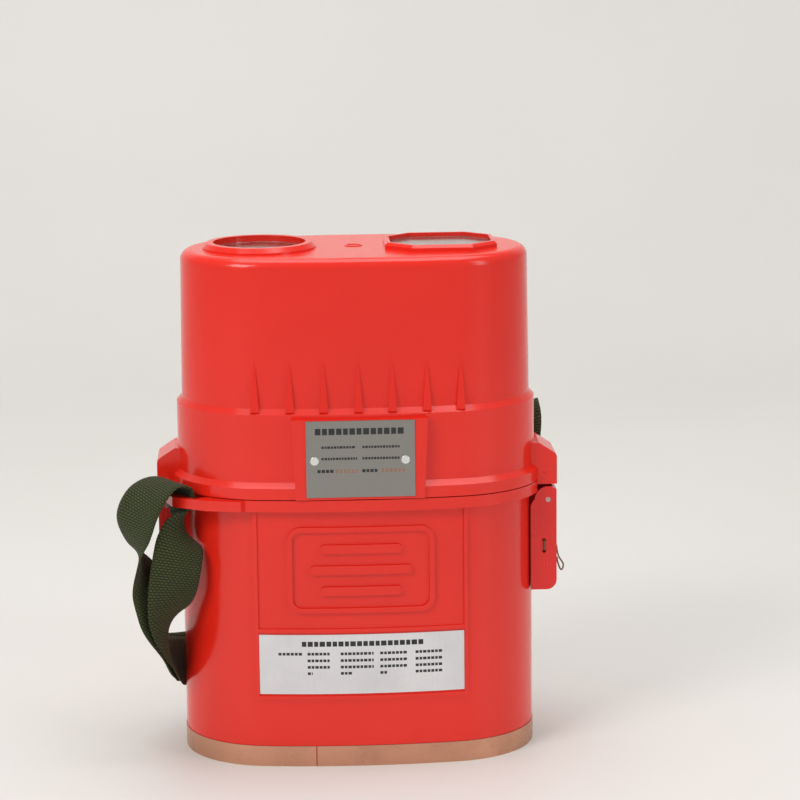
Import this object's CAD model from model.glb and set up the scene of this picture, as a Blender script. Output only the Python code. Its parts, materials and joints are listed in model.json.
import bpy, bmesh, math, json, random
from mathutils import Vector, Matrix


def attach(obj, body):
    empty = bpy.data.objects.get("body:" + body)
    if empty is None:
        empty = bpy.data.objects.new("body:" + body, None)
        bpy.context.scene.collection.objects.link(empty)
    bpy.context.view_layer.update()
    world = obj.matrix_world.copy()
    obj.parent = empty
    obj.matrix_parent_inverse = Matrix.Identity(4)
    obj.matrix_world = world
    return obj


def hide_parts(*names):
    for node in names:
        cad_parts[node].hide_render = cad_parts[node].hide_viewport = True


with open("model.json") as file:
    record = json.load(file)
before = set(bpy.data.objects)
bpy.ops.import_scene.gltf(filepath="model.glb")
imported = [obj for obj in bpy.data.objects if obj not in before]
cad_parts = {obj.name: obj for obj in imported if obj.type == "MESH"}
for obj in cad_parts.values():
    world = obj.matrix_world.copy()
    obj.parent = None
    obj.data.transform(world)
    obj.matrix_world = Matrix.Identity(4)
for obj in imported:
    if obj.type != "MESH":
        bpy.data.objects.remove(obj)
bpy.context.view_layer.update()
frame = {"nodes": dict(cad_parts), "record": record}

N = frame["nodes"]
MM = 0.001

# ------------------------------------------------------------ case outline, the same arcs as the CAD
HALF_SPAN, END_R, HALF_DEPTH = 42.0, 46.0, 48.8
BULGE = HALF_DEPTH - END_R
LONG_C = (HALF_SPAN ** 2 - BULGE ** 2) / (2 * BULGE)
LONG_R = HALF_DEPTH + LONG_C


def half_depth(x, o):
    """Half depth in mm of the outline offset by o at x."""
    h = math.hypot(HALF_SPAN, LONG_C)
    tx = HALF_SPAN + (END_R + o) * HALF_SPAN / h
    if abs(x) <= tx:
        return math.sqrt((LONG_R + o) ** 2 - x * x) - LONG_C
    return math.sqrt(max((END_R + o) ** 2 - (abs(x) - HALF_SPAN) ** 2, 0.0))


# ------------------------------------------------------------ materials
def new_mat(name):
    m = bpy.data.materials.new(name)
    m.use_nodes = True
    nt = m.node_tree
    for n in list(nt.nodes):
        nt.nodes.remove(n)
    out = nt.nodes.new("ShaderNodeOutputMaterial")
    b = nt.nodes.new("ShaderNodeBsdfPrincipled")
    nt.links.new(b.outputs[0], out.inputs[0])
    return m, nt, b


def coords(nt, scale=(1, 1, 1)):
    t = nt.nodes.new("ShaderNodeTexCoord")
    mp = nt.nodes.new("ShaderNodeMapping")
    mp.inputs["Scale"].default_value = scale
    nt.links.new(t.outputs["Object"], mp.inputs["Vector"])
    return mp.outputs["Vector"]


def noise(nt, vec, scale, detail=3.0, rough=0.5, dist=0.0):
    n = nt.nodes.new("ShaderNodeTexNoise")
    n.inputs["Scale"].default_value = scale
    n.inputs["Detail"].default_value = detail
    n.inputs["Roughness"].default_value = rough
    n.inputs["Distortion"].default_value = dist
    nt.links.new(vec, n.inputs["Vector"])
    return n.outputs["Fac"]


def ramp(nt, fac, stops):
    r = nt.nodes.new("ShaderNodeValToRGB")
    cr = r.color_ramp
    while len(cr.elements) > len(stops):
        cr.elements.remove(cr.elements[-1])
    while len(cr.elements) < len(stops):
        cr.elements.new(0.5)
    for e, (p, c) in zip(cr.elements, stops):
        e.position = p
        e.color = (*c, 1) if len(c) == 3 else c
    nt.links.new(fac, r.inputs["Fac"])
    return r.outputs["Color"]


def remap(nt, fac, lo, hi, a=0.3, b=0.7):
    r = nt.nodes.new("ShaderNodeMapRange")
    r.inputs["From Min"].default_value = a
    r.inputs["From Max"].default_value = b
    r.inputs["To Min"].default_value = lo
    r.inputs["To Max"].default_value = hi
    nt.links.new(fac, r.inputs["Value"])
    return r.outputs["Result"]


def bump(nt, b, height, strength, dist, prev=None):
    n = nt.nodes.new("ShaderNodeBump")
    n.inputs["Strength"].default_value = strength
    n.inputs["Distance"].default_value = dist
    nt.links.new(height, n.inputs["Height"])
    if prev is not None:
        nt.links.new(prev, n.inputs["Normal"])
    nt.links.new(n.outputs["Normal"], b.inputs["Normal"])
    return n.outputs["Normal"]


def tint(c, k):
    return tuple(min(max(v * k, 0), 1) for v in c)


def plastic(name, c, rough=0.28, var=0.06, coat=0.0, peel=0.10, scratch=0.05, stretch=(1, 1, 1), spec=0.5):
    m, nt, b = new_mat(name)
    v = coords(nt, stretch)
    big = noise(nt, v, 14.0, 4.0)
    nt.links.new(ramp(nt, big, [(0.30, tint(c, 1 - var)), (0.55, c), (0.75, tint(c, 1 + var * 0.6))]), b.inputs["Base Color"])
    fine = noise(nt, coords(nt, (1, 1, 0.16)), 260.0, 4.0, 0.6)
    nt.links.new(remap(nt, fine, rough - scratch, rough + scratch), b.inputs["Roughness"])
    if coat:
        b.inputs["Coat Weight"].default_value = coat
        b.inputs["Coat Roughness"].default_value = 0.06
    b.inputs["Specular IOR Level"].default_value = spec
    p = bump(nt, b, noise(nt, coords(nt), 90.0, 2.0), peel, 0.0004)
    bump(nt, b, fine, 0.02, 0.0001, p)
    return m


def metal(name, c, rough=0.3, aniso=0.0, stretch=(1, 1, 30), grain=300.0, var=0.08, stain=0.0, stain_c=(0.3, 0.2, 0.1), depth=0.12):
    m, nt, b = new_mat(name)
    b.inputs["Metallic"].default_value = 1.0
    b.inputs["Anisotropic"].default_value = aniso
    g = noise(nt, coords(nt, stretch), grain, 5.0, 0.65)
    big = noise(nt, coords(nt), 35.0, 4.0, 0.6)
    col = ramp(nt, g, [(0.25, tint(c, 1 - var)), (0.5, c), (0.78, tint(c, 1 + var))])
    if stain:
        mix = nt.nodes.new("ShaderNodeMix")
        mix.data_type = "RGBA"
        nt.links.new(remap(nt, big, 0.0, stain, 0.45, 0.75), mix.inputs[0])
        nt.links.new(col, mix.inputs[6])
        mix.inputs[7].default_value = (*stain_c, 1)
        col = mix.outputs[2]
    nt.links.new(col, b.inputs["Base Color"])
    nt.links.new(remap(nt, big, rough - 0.07, rough + 0.09), b.inputs["Roughness"])
    bump(nt, b, g, depth, 0.0003)
    return m


def matte(name, c, rough=0.75, var=0.12, scale=500.0, depth=0.2, sheen=0.0, big=30.0):
    m, nt, b = new_mat(name)
    g = noise(nt, coords(nt), scale, 4.0, 0.6)
    w = noise(nt, coords(nt), big, 3.0)
    nt.links.new(ramp(nt, w, [(0.3, tint(c, 1 - var)), (0.55, c), (0.8, tint(c, 1 + var))]), b.inputs["Base Color"])
    nt.links.new(remap(nt, g, rough - 0.08, rough + 0.08), b.inputs["Roughness"])
    if sheen:
        b.inputs["Sheen Weight"].default_value = sheen
        b.inputs["Sheen Roughness"].default_value = 0.5
    bump(nt, b, g, depth, 0.0004)
    return m


def granules(name, c):
    m, nt, b = new_mat(name)
    vo = nt.nodes.new("ShaderNodeTexVoronoi")
    vo.inputs["Scale"].default_value = 330.0
    nt.links.new(coords(nt), vo.inputs["Vector"])
    nt.links.new(ramp(nt, vo.outputs["Distance"], [(0.0, tint(c, 1.05)), (0.6, c), (0.95, tint(c, 0.45))]), b.inputs["Base Color"])
    b.inputs["Roughness"].default_value = 0.9
    inv = remap(nt, vo.outputs["Distance"], 1.0, 0.0, 0.0, 0.8)
    bump(nt, b, inv, 0.8, 0.001)
    return m


def clear(name, c, rough=0.06, trans=1.0, ior=1.49):
    m, nt, b = new_mat(name)
    g = noise(nt, coords(nt, (1, 1, 1)), 120.0, 4.0, 0.7)
    nt.links.new(ramp(nt, g, [(0.3, tint(c, 0.96)), (0.6, c)]), b.inputs["Base Color"])
    nt.links.new(remap(nt, g, rough, rough + 0.10), b.inputs["Roughness"])
    b.inputs["Transmission Weight"].default_value = trans
    b.inputs["IOR"].default_value = ior
    return m


RED = (0.80, 0.020, 0.009)
M = {}
M["red_shell"] = plastic("abs_red", RED, rough=0.20, var=0.05, peel=0.05, scratch=0.03)
M["red_lever"] = plastic("abs_red_lever", (0.76, 0.018, 0.014), rough=0.26, var=0.05, peel=0.05, scratch=0.03)
M["base_steel"] = metal("base_band_steel", (0.66, 0.36, 0.24), rough=0.24, aniso=0.4, stretch=(1, 1, 14), grain=240, stain=0.35, stain_c=(0.30, 0.15, 0.09))
M["label_foil"] = metal("foil_silver", (0.80, 0.81, 0.84), rough=0.30, stretch=(22, 1, 1), grain=160, var=0.05, stain=0.22, stain_c=(0.55, 0.56, 0.60))
M["plate_steel"] = metal("plate_satin", (0.33, 0.32, 0.30), rough=0.38, stretch=(1, 1, 24), grain=320, var=0.10)
M["pin_steel"] = metal("pin_steel", (0.60, 0.40, 0.38), rough=0.34)
M["zinc_steel"] = metal("zinc_plated", (0.62, 0.63, 0.62), rough=0.34, stretch=(1, 1, 1), grain=120, var=0.12)
M["brass"] = metal("turned_brass", (0.80, 0.56, 0.24), rough=0.28, stretch=(1, 1, 10), grain=260, stain=0.25, stain_c=(0.45, 0.28, 0.10))
M["anodised"] = metal("anodised_alloy", (0.55, 0.57, 0.60), rough=0.36, stretch=(30, 1, 1), grain=200)
M["tinplate"] = metal("tinplate", (0.70, 0.71, 0.69), rough=0.32, stretch=(1, 1, 6), grain=90, var=0.10, stain=0.15, stain_c=(0.40, 0.38, 0.34))
M["wire"] = metal("seal_wire_brown", (0.20, 0.13, 0.08), rough=0.42, stain=0.5, stain_c=(0.14, 0.08, 0.04))
M["bottle_paint"] = plastic("bottle_blue", (0.035, 0.16, 0.36), rough=0.30, var=0.10, peel=0.18)
M["button_plastic"] = plastic("button_amber", (0.80, 0.28, 0.02), rough=0.32)
M["wheel_plastic"] = matte("wheel_black", (0.020, 0.020, 0.022), rough=0.45, scale=700)
M["deck_plastic"] = matte("deck_black", (0.025, 0.025, 0.028), rough=0.55, scale=600)
M["slider_plastic"] = matte("slider_black", (0.016, 0.016, 0.016), rough=0.42, scale=700)
M["rubber_black"] = matte("rubber_black", (0.020, 0.020, 0.020), rough=0.70)
M["seal_rubber"] = matte("seal_grey", (0.28, 0.27, 0.25), rough=0.65)
M["hose_rubber"] = matte("hose_black", (0.024, 0.024, 0.026), rough=0.52, scale=420, sheen=0.15)
M["bag_rubber"] = matte("bag_cloth", (0.045, 0.060, 0.075), rough=0.62, scale=900, depth=0.35, sheen=0.3)
M["valve_white"] = plastic("valve_white", (0.72, 0.71, 0.67), rough=0.38, var=0.04)
M["silicone"] = matte("silicone", (0.56, 0.58, 0.57), rough=0.42, var=0.05, scale=300, depth=0.1)
M["plug_red"] = plastic("plug_red", (0.62, 0.04, 0.03), rough=0.42)
M["felt"] = matte("filter_felt", (0.74, 0.72, 0.66), rough=0.95, scale=900, depth=0.7, sheen=0.5)
M["granules"] = granules("soda_granules", (0.76, 0.74, 0.68))
M["card"] = matte("card_white", (0.80, 0.80, 0.77), rough=0.8, var=0.04)
M["dial_face"] = plastic("dial_white", (0.82, 0.82, 0.79), rough=0.45, var=0.03)
M["needle"] = plastic("needle_black", (0.012, 0.012, 0.012), rough=0.35)
M["clear_glass"] = clear("gauge_glass", (0.96, 0.98, 0.98), rough=0.02)
M["window_clear"] = clear("window_acrylic", (0.86, 0.84, 0.80), rough=0.10)

slots = {s["node"]: s["material_slot"] for s in frame["record"]["subparts"]}
for name, ob in N.items():
    s = slots.get(name)
    if s in M:
        if ob.material_slots:
            for ms in ob.material_slots:
                ms.material = M[s]
        else:
            ob.data.materials.append(M[s])

rivet = metal("rivet_bright", (0.86, 0.86, 0.85), rough=0.22, stretch=(1, 1, 1), grain=160, var=0.05)
for ms in N["nameplate_rivets"].material_slots:
    ms.material = rivet


def mesh_obj(name, verts, faces, mats=(), smooth=True, uvs=None):
    me = bpy.data.meshes.new(name)
    me.from_pydata([tuple(v) for v in verts], [], faces)
    if uvs is not None:
        uv = me.uv_layers.new(name="UVMap")
        for poly in me.polygons:
            for li in poly.loop_indices:
                uv.data[li].uv = uvs[me.loops[li].vertex_index]
    for m in mats:
        me.materials.append(m)
    for p in me.polygons:
        p.use_smooth = smooth
    me.update()
    ob = bpy.data.objects.new(name, me)
    bpy.context.collection.objects.link(ob)
    return ob


# ------------------------------------------------------------ greeked print on the two plates
ink = matte("print_ink", (0.022, 0.022, 0.024), rough=0.6, var=0.2, scale=900, depth=0.1)
ink_soft = matte("stamp_ink", (0.30, 0.17, 0.12), rough=0.7, var=0.2, scale=900, depth=0.1)


def bars(name, rows, y_of, mat_, body, thick=0.06):
    """rows: (x0, x1, z centre, height, [dash lengths], gap) in mm."""
    vs, fs = [], []
    for x0, x1, zc, h, dashes, gap in rows:
        x, i = x0, 0
        while x < x1 - 0.3:
            w = min(dashes[i % len(dashes)], x1 - x)
            n = max(1, int(w / 2.5))
            base = len(vs)
            for k in range(n + 1):
                xx = x + w * k / n
                yb = y_of(xx)
                for z in (zc - h / 2, zc + h / 2):
                    vs.append((xx * MM, (yb + 0.01) * MM, z * MM))
                    vs.append((xx * MM, (yb - thick) * MM, z * MM))
            for k in range(n):
                a = base + 4 * k
                b = a + 4
                fs += [(a + 1, b + 1, b + 3, a + 3), (a, a + 2, b + 2, b), (a, b, b + 1, a + 1), (a + 2, a + 3, b + 3, b + 2)]
            e = base + 4 * n
            fs += [(base, base + 1, base + 3, base + 2), (e, e + 2, e + 3, e + 1)]
            x += w + gap
            i += 1
    ob = mesh_obj(name, vs, fs, [mat_], smooth=False)
    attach(ob, body)
    return ob


np_y = lambda x: -53.6
rows = [(-21.6, 21.6, 169.3, 3.1, [2.7, 2.4, 2.9, 2.6, 2.3], 0.75)]
rows += [(-18.6, -1.8, 161.6, 1.15, [1.2, 0.9, 1.4, 1.1], 0.35), (1.2, 19.6, 161.6, 1.15, [1.0, 1.3, 0.9], 0.35)]
rows += [(-18.6, -1.4, 156.0, 1.15, [1.1, 1.3, 0.9, 0.8], 0.35), (1.2, 19.2, 156.0, 1.15, [0.9, 1.2, 1.1], 0.35)]
rows += [(-20.6, -12.6, 149.9, 1.5, [1.5, 1.7], 0.45), (1.0, 8.6, 149.9, 1.5, [1.6, 1.4], 0.45)]
bars("nameplate_print", rows, np_y, ink, "cover")
bars("nameplate_stamp", [(-11.6, -1.0, 149.8, 1.8, [1.2, 1.2, 1.2], 0.7), (10.4, 21.8, 150.0, 1.8, [1.3, 1.3, 1.3], 0.7)], np_y, ink_soft, "cover", 0.04)

ip_y = lambda x: -half_depth(x, -0.4 + 0.45)
rows = [(-29.5, 30.6, 62.3, 2.5, [2.2, 2.5, 2.0, 2.7, 2.4], 0.65)]
cols = [(-26.8, -16.0), (-10.6, 5.6), (8.8, 22.6), (26.2, 39.6)]
for r, zc in enumerate((57.3, 53.9, 50.6, 47.4)):
    for c, (a, b) in enumerate(cols):
        if r == 3 and c in (0, 1, 2):
            b = a + (2.4, 5.8, 4.0)[c]
        rows.append((a, b, zc, 1.35, [1.5, 1.3, 1.7, 1.4], 0.45))
rows.append((-41.0, -29.4, 57.3, 1.35, [1.5, 1.4, 1.6], 0.5))
bars("instruction_print", rows, ip_y, ink, "lower_unit")

# ------------------------------------------------------------ carry strap
STRAP_W, STRAP_T = 25.0, 1.5
STRAP = [
    # inner end, doubled behind the case
    ((-58.0, 55.6, 30.0), (0.10, 0.02, 1.0)),
    ((-78.0, 47.5, 33.0), (0.10, 0.10, 1.0)),
    ((-91.5, 26.0, 37.0), (-0.10, 0.14, 1.0)),
    ((-97.4, 4.0, 43.5), (-0.40, 0.02, 0.92)),
    ((-98.8, -14.0, 50.0), (-0.40, 0.30, 0.86)),
    ((-99.6, -28.0, 61.0), (-0.16, 0.86, 0.48)),
    ((-100.4, -36.0, 76.0), (0.62, 0.78, 0.05)),
    ((-102.6, -37.6, 90.0), (0.74, 0.67, 0.0)),
    ((-106.4, -37.0, 102.0), (0.20, 0.98, 0.0)),
    ((-109.6, -37.0, 113.0), (-0.48, 0.87, 0.0)),
    ((-109.2, -38.0, 125.0), (-0.78, 0.62, 0.0)),
    ((-103.6, -36.8, 135.6), (-0.76, 0.64, 0.10)),
    ((-95.4, -32.6, 141.2), (-0.62, 0.78, 0.05)),
    ((-88.0, -28.6, 139.2), (-0.53, 0.848, 0.0)),
    ((-87.1, -28.0, 133.0), (-0.53, 0.848, 0.0)),
    ((-87.1, -28.0, 129.4), (-0.53, 0.848, 0.0)),
    ((-86.9, -28.4, 126.2), (-0.47, 0.88, 0.0)),
    ((-86.6, -31.0, 121.0), (0.02, 1.0, 0.0)),
    ((-87.6, -37.0, 114.0), (0.76, 0.64, 0.04)),
    ((-89.2, -41.6, 105.5), (0.95, 0.30, 0.10)),
    ((-91.6, -43.0, 92.0), (0.96, 0.26, 0.06)),
    ((-94.0, -39.5, 78.5), (0.80, 0.60, 0.05)),
    ((-95.9, -30.5, 65.0), (0.16, 0.90, 0.36)),
    ((-95.8, -16.0, 51.0), (-0.34, 0.34, 0.86)),
    ((-94.6, 3.0, 42.5), (-0.40, 0.02, 0.92)),
    ((-88.0, 24.2, 35.2), (-0.10, 0.14, 1.0)),
    ((-76.0, 43.4, 31.4), (0.10, 0.10, 1.0)),
    ((-57.0, 53.0, 28.6), (0.10, 0.02, 1.0)),
    ((-30.0, 57.0, 26.0), (0.05, 0.0, 1.0)),
    ((0.0, 59.0, 26.0), (-0.10, 0.0, 1.0)),
    ((26.0, 60.0, 36.0), (-0.50, 0.0, 0.87)),
    ((46.0, 61.0, 60.0), (-0.86, 0.0, 0.50)),
    ((58.0, 61.5, 92.0), (-0.97, 0.05, 0.24)),
    ((67.0, 61.0, 124.0), (-0.95, 0.20, 0.24)),
    ((76.0, 57.6, 149.0), (-0.84, 0.48, 0.24)),
    ((82.8, 48.4, 159.0), (-0.76, 0.64, 0.10)),
    ((86.9, 37.6, 154.0), (-0.62, 0.78, 0.0)),
    ((87.0, 30.4, 143.0), (-0.53, 0.848, 0.0)),
    ((87.1, 28.0, 133.0), (-0.53, 0.848, 0.0)),
    ((87.1, 28.0, 127.6), (-0.53, 0.848, 0.0)),
    ((87.6, 33.0, 118.5), (-0.55, 0.83, 0.0)),
    ((86.0, 45.0, 108.0), (-0.80, 0.60, 0.0)),
    ((76.0, 54.5, 96.0), (-0.95, 0.15, 0.26)),
    ((66.5, 57.0, 80.0), (-0.93, 0.02, 0.36)),
]


def catmull(pts, n):
    out = []
    m = len(pts)
    for i in range(m - 1):
        p0, p1, p2, p3 = pts[max(i - 1, 0)], pts[i], pts[i + 1], pts[min(i + 2, m - 1)]
        for k in range(n):
            t = k / n
            out.append(tuple(0.5 * (2 * p1[c] + (p2[c] - p0[c]) * t + (2 * p0[c] - 5 * p1[c] + 4 * p2[c] - p3[c]) * t * t
                             + (3 * p1[c] - p0[c] - 3 * p2[c] + p3[c]) * t ** 3) for c in range(3)))
    out.append(pts[-1])
    return out


def webbing_mat():
    m, nt, b = new_mat("olive_webbing")
    uvn = nt.nodes.new("ShaderNodeUVMap")
    sep = nt.nodes.new("ShaderNodeSeparateXYZ")
    nt.links.new(uvn.outputs["UV"], sep.inputs[0])

    def mth(op, a, b_=None):
        n = nt.nodes.new("ShaderNodeMath")
        n.operation = op
        for i, q in enumerate((a, b_)):
            if q is None:
                continue
            if isinstance(q, (int, float)):
                n.inputs[i].default_value = q
            else:
                nt.links.new(q, n.inputs[i])
        return n.outputs[0]
    u, v = sep.outputs[0], sep.outputs[1]            # both in mm / 10
    row = mth("DIVIDE", v, 0.125)
    half = mth("MULTIPLY", mth("FLOOR", row), 0.5)
    col = mth("ADD", mth("DIVIDE", u, 0.21), half)
    rib = mth("ABSOLUTE", mth("SINE", mth("MULTIPLY", row, math.pi)))
    yarn = mth("ABSOLUTE", mth("SINE", mth("MULTIPLY", col, math.pi)))
    h = mth("MULTIPLY", mth("POWER", rib, 0.6), mth("ADD", mth("MULTIPLY", yarn, 0.55), 0.45))
    g = noise(nt, coords(nt), 1400.0, 3.0, 0.7)
    w = noise(nt, coords(nt), 45.0, 3.0)
    c1 = ramp(nt, h, [(0.0, (0.004, 0.005, 0.002)), (0.45, (0.022, 0.030, 0.009)), (1.0, (0.070, 0.088, 0.028))])
    mix = nt.nodes.new("ShaderNodeMix")
    mix.data_type = "RGBA"
    mix.blend_type = "MULTIPLY"
    nt.links.new(remap(nt, w, 0.0, 0.65, 0.35, 0.65), mix.inputs[0])
    nt.links.new(c1, mix.inputs[6])
    nt.links.new(ramp(nt, g, [(0.3, (0.62, 0.60, 0.55)), (0.7, (1.0, 0.98, 0.92))]), mix.inputs[7])
    nt.links.new(mix.outputs[2], b.inputs["Base Color"])
    b.inputs["Roughness"].default_value = 0.82
    b.inputs["Sheen Weight"].default_value = 0.06
    b.inputs["Sheen Roughness"].default_value = 0.6
    b.inputs["Specular IOR Level"].default_value = 0.22
    p = bump(nt, b, h, 0.9, 0.0005)
    bump(nt, b, g, 0.25, 0.0002, p)
    return m


def ribbon(name, stations, sub, width, thick, mat_, across=14):
    mids = catmull([s[0] for s in stations], sub)
    acr = catmull([s[1] for s in stations], sub)
    # light smoothing so that the webbing has no kinks
    for _ in range(3):
        acr = [acr[0]] + [tuple((acr[i - 1][c] + 2 * acr[i][c] + acr[i + 1][c]) / 4 for c in range(3)) for i in range(1, len(acr) - 1)] + [acr[-1]]
    vs, uvs, L = [], [], 0.0
    prof = []
    hw, ht = width / 2, thick / 2
    for k in range(across + 1):
        s = -1 + 2 * k / across
        e = min(1.0, (1 - abs(s)) * hw / (ht * 1.2))
        prof.append((s * hw, ht * math.sqrt(max(e * (2 - e), 0.04))))
    ring = [(a, h) for a, h in prof] + [(a, -h) for a, h in reversed(prof)]
    nr = len(ring)
    for i in range(len(mids)):
        m = Vector(mids[i])
        t = (Vector(mids[min(i + 1, len(mids) - 1)]) - Vector(mids[max(i - 1, 0)])).normalized()
        w = Vector(acr[i])
        w = (w - t * w.dot(t)).normalized()
        n = t.cross(w)
        if i:
            L += (m - Vector(mids[i - 1])).length
        for a, h in ring:
            vs.append((m + w * a + n * h) * MM)
            uvs.append(((a + hw) / 10, L / 10))
    fs = []
    for i in range(len(mids) - 1):
        for k in range(nr):
            j = (k + 1) % nr
            a = i * nr
            fs.append((a + k, a + j, a + nr + j, a + nr + k))
    fs.append(tuple(reversed(range(nr))))
    e = (len(mids) - 1) * nr
    fs.append(tuple(range(e, e + nr)))
    ob = mesh_obj(name, vs, fs, [mat_], uvs=uvs)
    bm = bmesh.new()
    bm.from_mesh(ob.data)
    bmesh.ops.recalc_face_normals(bm, faces=bm.faces)
    bm.to_mesh(ob.data)
    bm.free()
    return ob, L


web = webbing_mat()
strap, strap_len = ribbon("webbing_strap", STRAP, 10, STRAP_W, STRAP_T, web)
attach(strap, "lower_unit")
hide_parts("carry_strap")

# ------------------------------------------------------------ corrugated breathing hose
HX, HY, HZ, HR = -1.0, 27.0, 222.0, 9.6
HEND = (20.5, 13.15)
hb = math.hypot(HEND[0] - HX, HEND[1] - HY)
hu = Vector(((HEND[0] - HX) / hb, (HEND[1] - HY) / hb, 0))
h0 = HZ - hb


def hose_frame(s):
    """Centre and tangent at distance s from the foot of the hose."""
    s0 = h0 - 123.0
    if s <= s0:
        return Vector((HX, HY, 123.0 + s)), Vector((0, 0, 1))
    a = min((s - s0) / hb, math.pi / 2)
    return Vector((HX, HY, h0)) + hu * hb * (1 - math.cos(a)) + Vector((0, 0, hb * math.sin(a))), hu * math.sin(a) + Vector((0, 0, math.cos(a)))


total = (h0 - 123.0) + hb * math.pi / 2
prof = [(0.0, 10.8), (10.0, 10.8), (10.4, 9.5)]
s = 11.0
while s < total - 6.5:
    for f, r in ((0.0, 8.3), (0.25, 8.9), (0.5, 9.55), (0.75, 8.9)):
        prof.append((s + 4.0 * f, r))
    s += 4.0
prof += [(total - 5.8, 9.55), (total, 9.55)]
inner = [(total, 8.0), (10.2, 8.0), (8.2, 9.2), (0.0, 9.2)]
vs, fs, SEG = [], [], 40
for sd, r in prof + inner:
    c, t = hose_frame(sd)
    side = Vector((hu.y, -hu.x, 0))
    up = t.cross(side)
    for k in range(SEG):
        a = 2 * math.pi * k / SEG
        vs.append((c + side * (r * math.cos(a)) + up * (r * math.sin(a))) * MM)
n = len(prof) + len(inner)
for i in range(n):
    i2 = (i + 1) % n
    for k in range(SEG):
        j = (k + 1) % SEG
        fs.append((i * SEG + k, i * SEG + j, i2 * SEG + j, i2 * SEG + k))
hose = mesh_obj("corrugated_hose", vs, fs, [M["hose_rubber"]])
bm = bmesh.new(); bm.from_mesh(hose.data); bmesh.ops.recalc_face_normals(bm, faces=bm.faces); bm.to_mesh(hose.data); bm.free()
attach(hose, "lower_unit")
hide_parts("breathing_hose")

# ------------------------------------------------------------ folded breathing bag
def bag_outline(o, n=120):
    """Closed outline of the folded bag in mm, inset by o."""
    pts = []
    x0, yf = 9.0 + o, -30.1 + o
    R, cx = 37.0 - o, 42.0
    rr = 9.0
    big = LONG_R - 9.0 - o
    # walk by angle round a centre and take the nearest limit
    c = Vector((42.0, 4.5))
    for i in range(n):
        a = 2 * math.pi * i / n
        d = Vector((math.cos(a), math.sin(a)))
        lo, hi = 0.0, 80.0
        for _ in range(26):
            mid = (lo + hi) / 2
            p = c + d * mid
            ok = p.x > x0 and p.y > yf and abs(p.y) < half_depth(p.x, -9.0 - o)
            # round the corners on the left
            for yc, sgn in ((half_depth(x0 + rr, -9.0 - o) - rr, 1), (yf + rr, -1)):
                if p.x < x0 + rr and (p.y - yc) * sgn > 0:
                    ok = ok and (Vector((p.x - x0 - rr, p.y - yc)).length < rr)
            if ok:
                lo = mid
            else:
                hi = mid
        pts.append(c + d * lo)
    return pts, c


random.seed(7)
base_pts, bc = bag_outline(0.4)
levels, z0b, z1b = 46, 139.4, 199.4
vs, fs = [], []
nP = len(base_pts)
for j in range(levels + 1):
    f = j / levels
    z = z0b + (z1b - z0b) * f
    pleat = 0.5 - 0.5 * math.cos(2 * math.pi * f * 6.0)
    inset = 4.2 * (1 - pleat) ** 1.3 + (3.5 * max(0, (f - 0.93) / 0.07) ** 2) + (3.5 * max(0, (0.06 - f) / 0.06) ** 2)
    for i, p in enumerate(base_pts):
        a = 2 * math.pi * i / nP
        wob = 0.9 * math.sin(3 * a + 5 * f) + 0.6 * math.sin(7 * a - 9 * f)
        near_valve = math.exp(-((p.x - 40) ** 2 + (z - 160) ** 2) / 420.0) if p.y < -20 else 0.0
        k = inset * (1 - 0.0 * near_valve) + max(0.0, 0.9 + wob * 0.5) + near_valve * 1.4
        d = (p - bc)
        q = bc + d * (1 - k / d.length)
        zz = z + 0.5 * math.sin(2 * a + 4 * f) * math.sin(math.pi * f)
        vs.append(Vector((q.x, q.y, zz)) * MM)
for j in range(levels):
    for i in range(nP):
        k = (i + 1) % nP
        fs.append((j * nP + i, j * nP + k, (j + 1) * nP + k, (j + 1) * nP + i))


def close_cap(level, up):
    """Crowned, puckered end of the bag, ring by ring to the centre."""
    start = level * nP
    prev = [start + i for i in range(nP)]
    for ringi, sc in enumerate((0.93, 0.82, 0.68, 0.52, 0.36, 0.2, 0.08)):
        cur = []
        for i in range(nP):
            v = Vector(vs[start + i]) / MM
            a = 2 * math.pi * i / nP
            x = bc.x + (v.x - bc.x) * sc
            y = bc.y + (v.y - bc.y) * sc
            wr = 0.35 * math.sin(9 * a + ringi) * sc + 0.45 * math.sin(0.35 * x + 0.2 * y)
            z = (199.3 if up else 139.6) + (0.1 + wr * 0.35 - 0.35 if up else 0.0)
            cur.append(len(vs))
            vs.append(Vector((x, y, z)) * MM)
        for i in range(nP):
            k = (i + 1) % nP
            f = (prev[i], prev[k], cur[k], cur[i])
            fs.append(f if up else tuple(reversed(f)))
        prev = cur
    fs.append(tuple(prev) if up else tuple(reversed(prev)))


close_cap(levels, True)
close_cap(0, False)
bag = mesh_obj("folded_bag", vs, fs, [M["bag_rubber"]])
bm = bmesh.new(); bm.from_mesh(bag.data); bmesh.ops.recalc_face_normals(bm, faces=bm.faces); bm.to_mesh(bag.data); bm.free()
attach(bag, "lower_unit")
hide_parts("breathing_bag")

# ------------------------------------------------------------ gauge dial marks
vs, fs = [], []
def wedge(r0, r1, a0, a1, z, t=0.05, n=1):
    base = len(vs)
    for k in range(n + 1):
        a = a0 + (a1 - a0) * k / n
        for r in (r0, r1):
            for zz in (z, z + t):
                vs.append((( -46.5 + r * math.sin(a)) * MM, (r * math.cos(a)) * MM, zz * MM))
    for k in range(n):
        a = base + 4 * k
        b = a + 4
        fs.extend([(a + 1, a + 3, b + 3, b + 1), (a, b, b + 2, a + 2), (a, a + 1, b + 1, b), (a + 2, b + 2, b + 3, a + 3)])
    e = base + 4 * n
    fs.extend([(base, base + 2, base + 3, base + 1), (e, e + 1, e + 3, e + 2)])
for i in range(25):
    a = math.radians(i * 10)
    major = i % 5 == 0
    w = 0.028 if major else 0.014
    wedge(13.6 if major else 15.0, 17.2, a - w, a + w, 236.4)
marks = mesh_obj("gauge_ticks", vs, fs, [M["needle"]], smooth=False)
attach(marks, "lower_unit")
vs, fs = [], []
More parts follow.
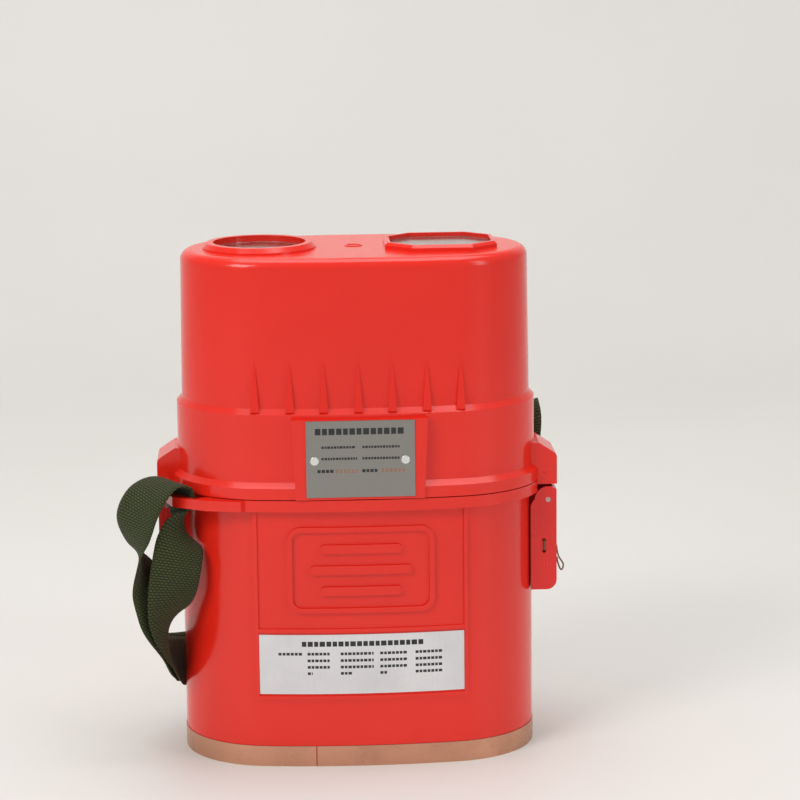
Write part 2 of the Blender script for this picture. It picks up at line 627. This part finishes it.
wedge(17.5, 18.5, math.radians(180), math.radians(220), 236.4, n=16)
green = mesh_obj("gauge_band", vs, fs, [plastic("dial_green", (0.03, 0.35, 0.08), rough=0.4)], smooth=False)
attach(green, "lower_unit")

# ------------------------------------------------------------ floor, backdrop, lights
def floor_mat():
    m, nt, b = new_mat("studio_floor")
    g = noise(nt, coords(nt), 3.0, 3.0)
    nt.links.new(ramp(nt, g, [(0.3, (0.74, 0.725, 0.695)), (0.7, (0.77, 0.755, 0.73))]), b.inputs["Base Color"])
    b.inputs["Roughness"].default_value = 0.55
    return m


vs, fs = [], []
W = 4.0
prof = [(-3.0, 0.0), (0.9, 0.0)]
for k in range(1, 13):
    a = math.pi / 2 * k / 12
    prof.append((0.9 + 0.5 * math.sin(a), 0.5 - 0.5 * math.cos(a)))
prof.append((1.4, 3.2))
for y, z in prof:
    vs += [(-W, y, z), (W, y, z)]
for i in range(len(prof) - 1):
    fs.append((2 * i, 2 * i + 1, 2 * i + 3, 2 * i + 2))
floor = mesh_obj("studio_floor", vs, fs, [floor_mat()])


def area(name, loc, target, size, size_y, energy, color=(1, 1, 1)):
    li = bpy.data.lights.new(name, "AREA")
    li.shape = "RECTANGLE"
    li.size, li.size_y, li.energy, li.color = size, size_y, energy, color
    ob = bpy.data.objects.new(name, li)
    ob.location = loc
    d = Vector(target) - Vector(loc)
    ob.rotation_euler = d.to_track_quat("-Z", "Y").to_euler()
    bpy.context.collection.objects.link(ob)
    return ob


area("key_left", (-1.0, -1.1, 1.2), (0, 0, 0.14), 0.7, 0.7, 13.0, (1.0, 0.98, 0.95))
area("fill_right", (1.2, -0.9, 0.7), (0, 0, 0.12), 0.35, 1.0, 3.4, (0.98, 0.98, 1.0))
area("top", (0.1, 0.2, 1.6), (0, 0, 0.1), 1.4, 1.0, 10.5)
area("wall_wash", (0.0, -0.2, 2.2), (0, 1.4, 0.8), 2.0, 0.8, 7.0)
bpy.context.scene.view_settings.view_transform = "Standard"
world = bpy.data.worlds.new("studio")
bpy.context.scene.world = world
world.use_nodes = True
bg = world.node_tree.nodes["Background"]
bg.inputs[0].default_value = (0.90, 0.895, 0.88, 1)
bg.inputs[1].default_value = 0.50

# ------------------------------------------------------------ camera
PITCH, YAW, ROLL = 0.189249, 0.047745, -0.010666
LOC = Vector((-0.0480, -1.4685, 0.4556))
right, upv, fwd = Vector((1, 0, 0)), Vector((0, math.sin(PITCH), math.cos(PITCH))), Vector((0, math.cos(PITCH), -math.sin(PITCH)))
cx = math.cos(ROLL) * right + math.sin(ROLL) * upv
cy = -math.sin(ROLL) * right + math.cos(ROLL) * upv
unyaw = Matrix.Rotation(-YAW, 3, "Z")
cx, cy, cz = unyaw @ cx, unyaw @ cy, unyaw @ (-fwd)
cam = bpy.data.cameras.new("camera")
cam.lens, cam.sensor_width, cam.sensor_height = 135.0, 36.0, 36.0
cam.clip_start, cam.clip_end = 0.05, 30.0
co = bpy.data.objects.new("camera", cam)
co.matrix_world = Matrix((
    (cx.x, cy.x, cz.x, LOC.x),
    (cx.y, cy.y, cz.y, LOC.y),
    (cx.z, cy.z, cz.z, LOC.z),
    (0, 0, 0, 1)))
bpy.context.collection.objects.link(co)
bpy.context.scene.camera = co
